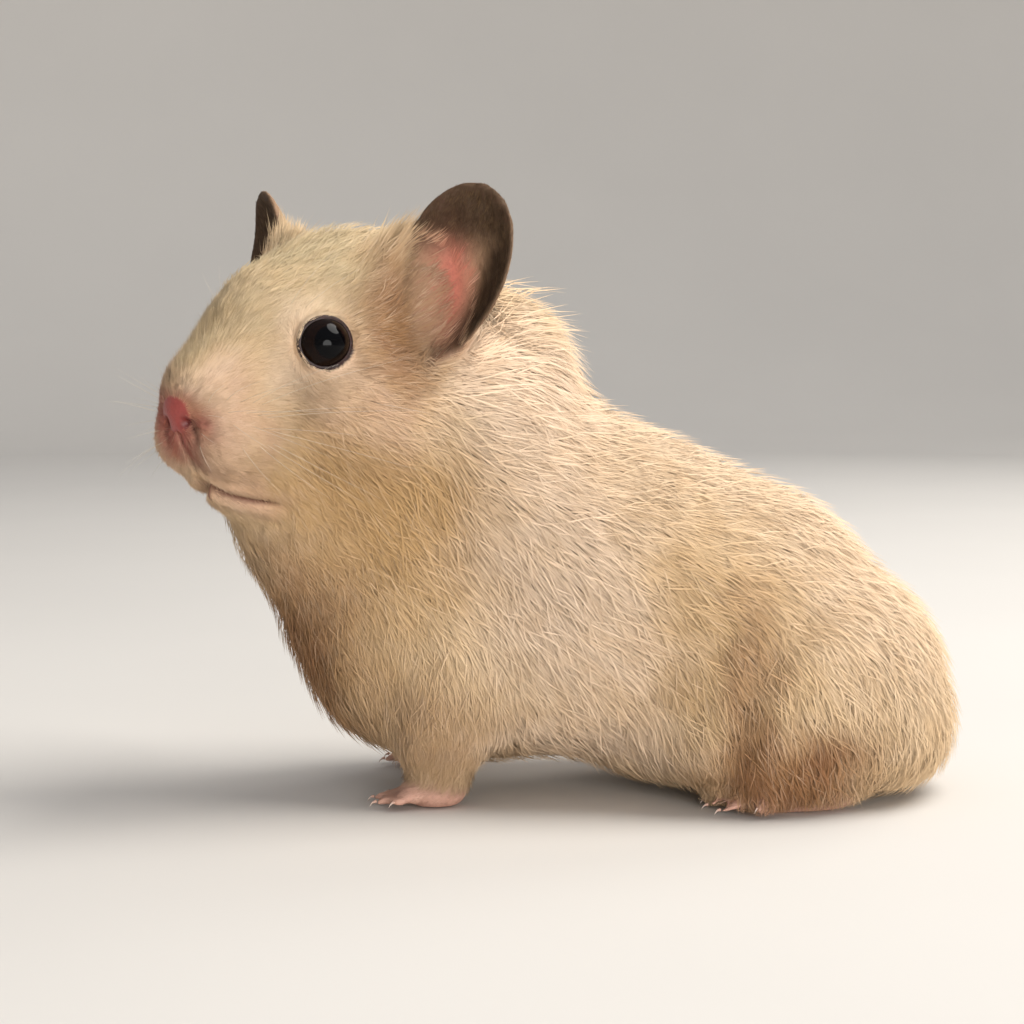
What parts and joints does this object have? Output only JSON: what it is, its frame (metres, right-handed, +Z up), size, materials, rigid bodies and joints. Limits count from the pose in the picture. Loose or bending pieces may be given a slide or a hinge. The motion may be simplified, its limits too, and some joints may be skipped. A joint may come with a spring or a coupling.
{
  "type": "syrian hamster",
  "caption": "Life-size still model of a young cream Syrian hamster on all fours, forequarters raised and head turned to its left.",
  "frame": {"origin": "middle of the underside of the model's box, on the floor", "axes": "+Z up, +X from nose to rump along the body, -Y to the hamster's left side"},
  "size_m": [0.103, 0.0512, 0.0795],
  "materials": {
    "coat": "soft short cream fur",
    "ear_skin": "thin dark skin with very short down, pink inside",
    "nose_skin": "bare pink skin, slightly moist",
    "paw_skin": "pink skin with very short down",
    "eye": "wet black gloss"
  },
  "bodies": {
    "root": {"trunk": "coat", "neck": "coat", "head": "coat", "nose": "nose_skin", "eye_left": "eye", "eye_right": "eye", "ear_left": "ear_skin", "ear_right": "ear_skin", "foreleg_left": "coat", "foreleg_right": "coat", "forepaw_left": "paw_skin", "forepaw_right": "paw_skin", "hindleg_left": "coat", "hindleg_right": "coat", "hindfoot_left": "paw_skin", "hindfoot_right": "paw_skin", "tail": "paw_skin"}
  },
  "joints": []
}
